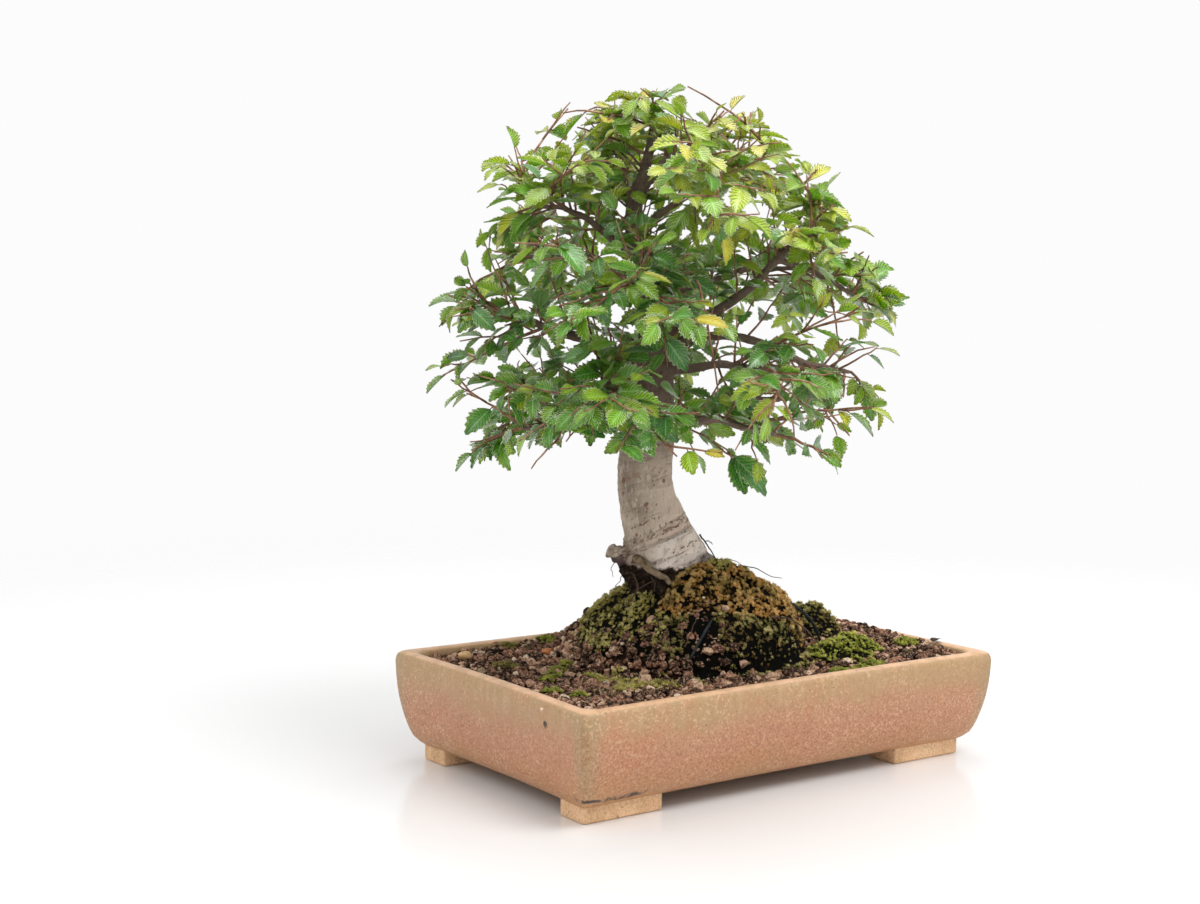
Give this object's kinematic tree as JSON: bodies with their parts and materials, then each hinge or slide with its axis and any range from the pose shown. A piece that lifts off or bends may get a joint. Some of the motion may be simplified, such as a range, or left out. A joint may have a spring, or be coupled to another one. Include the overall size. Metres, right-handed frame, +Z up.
{
  "type": "chinese elm bonsai",
  "caption": "Young dome-crowned chinese elm bonsai on a mossy granule mound in a shallow rectangular footed pot, with toothed leaves.",
  "frame": {"origin": "on the surface that the pot stands on, under the middle of the pot", "axes": "+Z up, X along the pot's long side, the pot's front long side at -Y; the tree's own front looks out over the front left corner"},
  "size_m": [0.254, 0.2292, 0.3345],
  "materials": {
    "glazed_stoneware": "speckled satin tan glaze, bare clay feet",
    "screen_mesh": "matte",
    "clay_granules": "rough fired clay granules, damp",
    "golden_moss": "dry golden brown moss",
    "dark_moss": "black green moss",
    "olive_moss": "olive moss",
    "bright_moss": "fresh green moss",
    "cream_pebble": "dull",
    "orange_pebble": "dull",
    "tie_wire": "weathered dark grey",
    "bark": "smooth grey tan bark with brown lenticels, darker in the crown",
    "leaf": "leathery satin leaf"
  },
  "bodies": {
    "root": {"pot": "glazed_stoneware", "screen_left": "screen_mesh", "screen_right": "screen_mesh", "soil": "clay_granules", "moss_golden": "golden_moss", "moss_dark": "dark_moss", "moss_olive": "olive_moss", "moss_bright": "bright_moss", "moss_shade": "dark_moss", "pebble_cream": "cream_pebble", "pebble_orange": "orange_pebble", "tie_wire_front": "tie_wire", "tie_wire_right": "tie_wire", "trunk": "bark", "spray_01": "leaf", "spray_02": "leaf", "spray_03": "leaf", "spray_04": "leaf", "spray_05": "leaf", "spray_06": "leaf", "spray_07": "leaf", "spray_08": "leaf", "spray_09": "leaf", "spray_10": "leaf", "spray_11": "leaf", "spray_12": "leaf", "spray_13": "leaf", "spray_14": "leaf", "spray_15": "leaf", "spray_16": "leaf", "spray_17": "leaf", "spray_18": "leaf", "spray_19": "leaf", "spray_20": "leaf", "spray_21": "leaf", "spray_22": "leaf", "spray_23": "leaf", "spray_24": "leaf", "spray_25": "leaf", "spray_26": "leaf", "spray_27": "leaf", "spray_28": "leaf", "spray_29": "leaf", "spray_30": "leaf", "spray_31": "leaf", "spray_32": "leaf", "spray_33": "leaf", "spray_34": "leaf", "spray_35": "leaf", "spray_36": "leaf", "spray_37": "leaf", "spray_38": "leaf", "spray_39": "leaf", "spray_40": "leaf", "spray_41": "leaf", "spray_42": "leaf", "spray_43": "leaf", "spray_44": "leaf"}
  },
  "joints": []
}
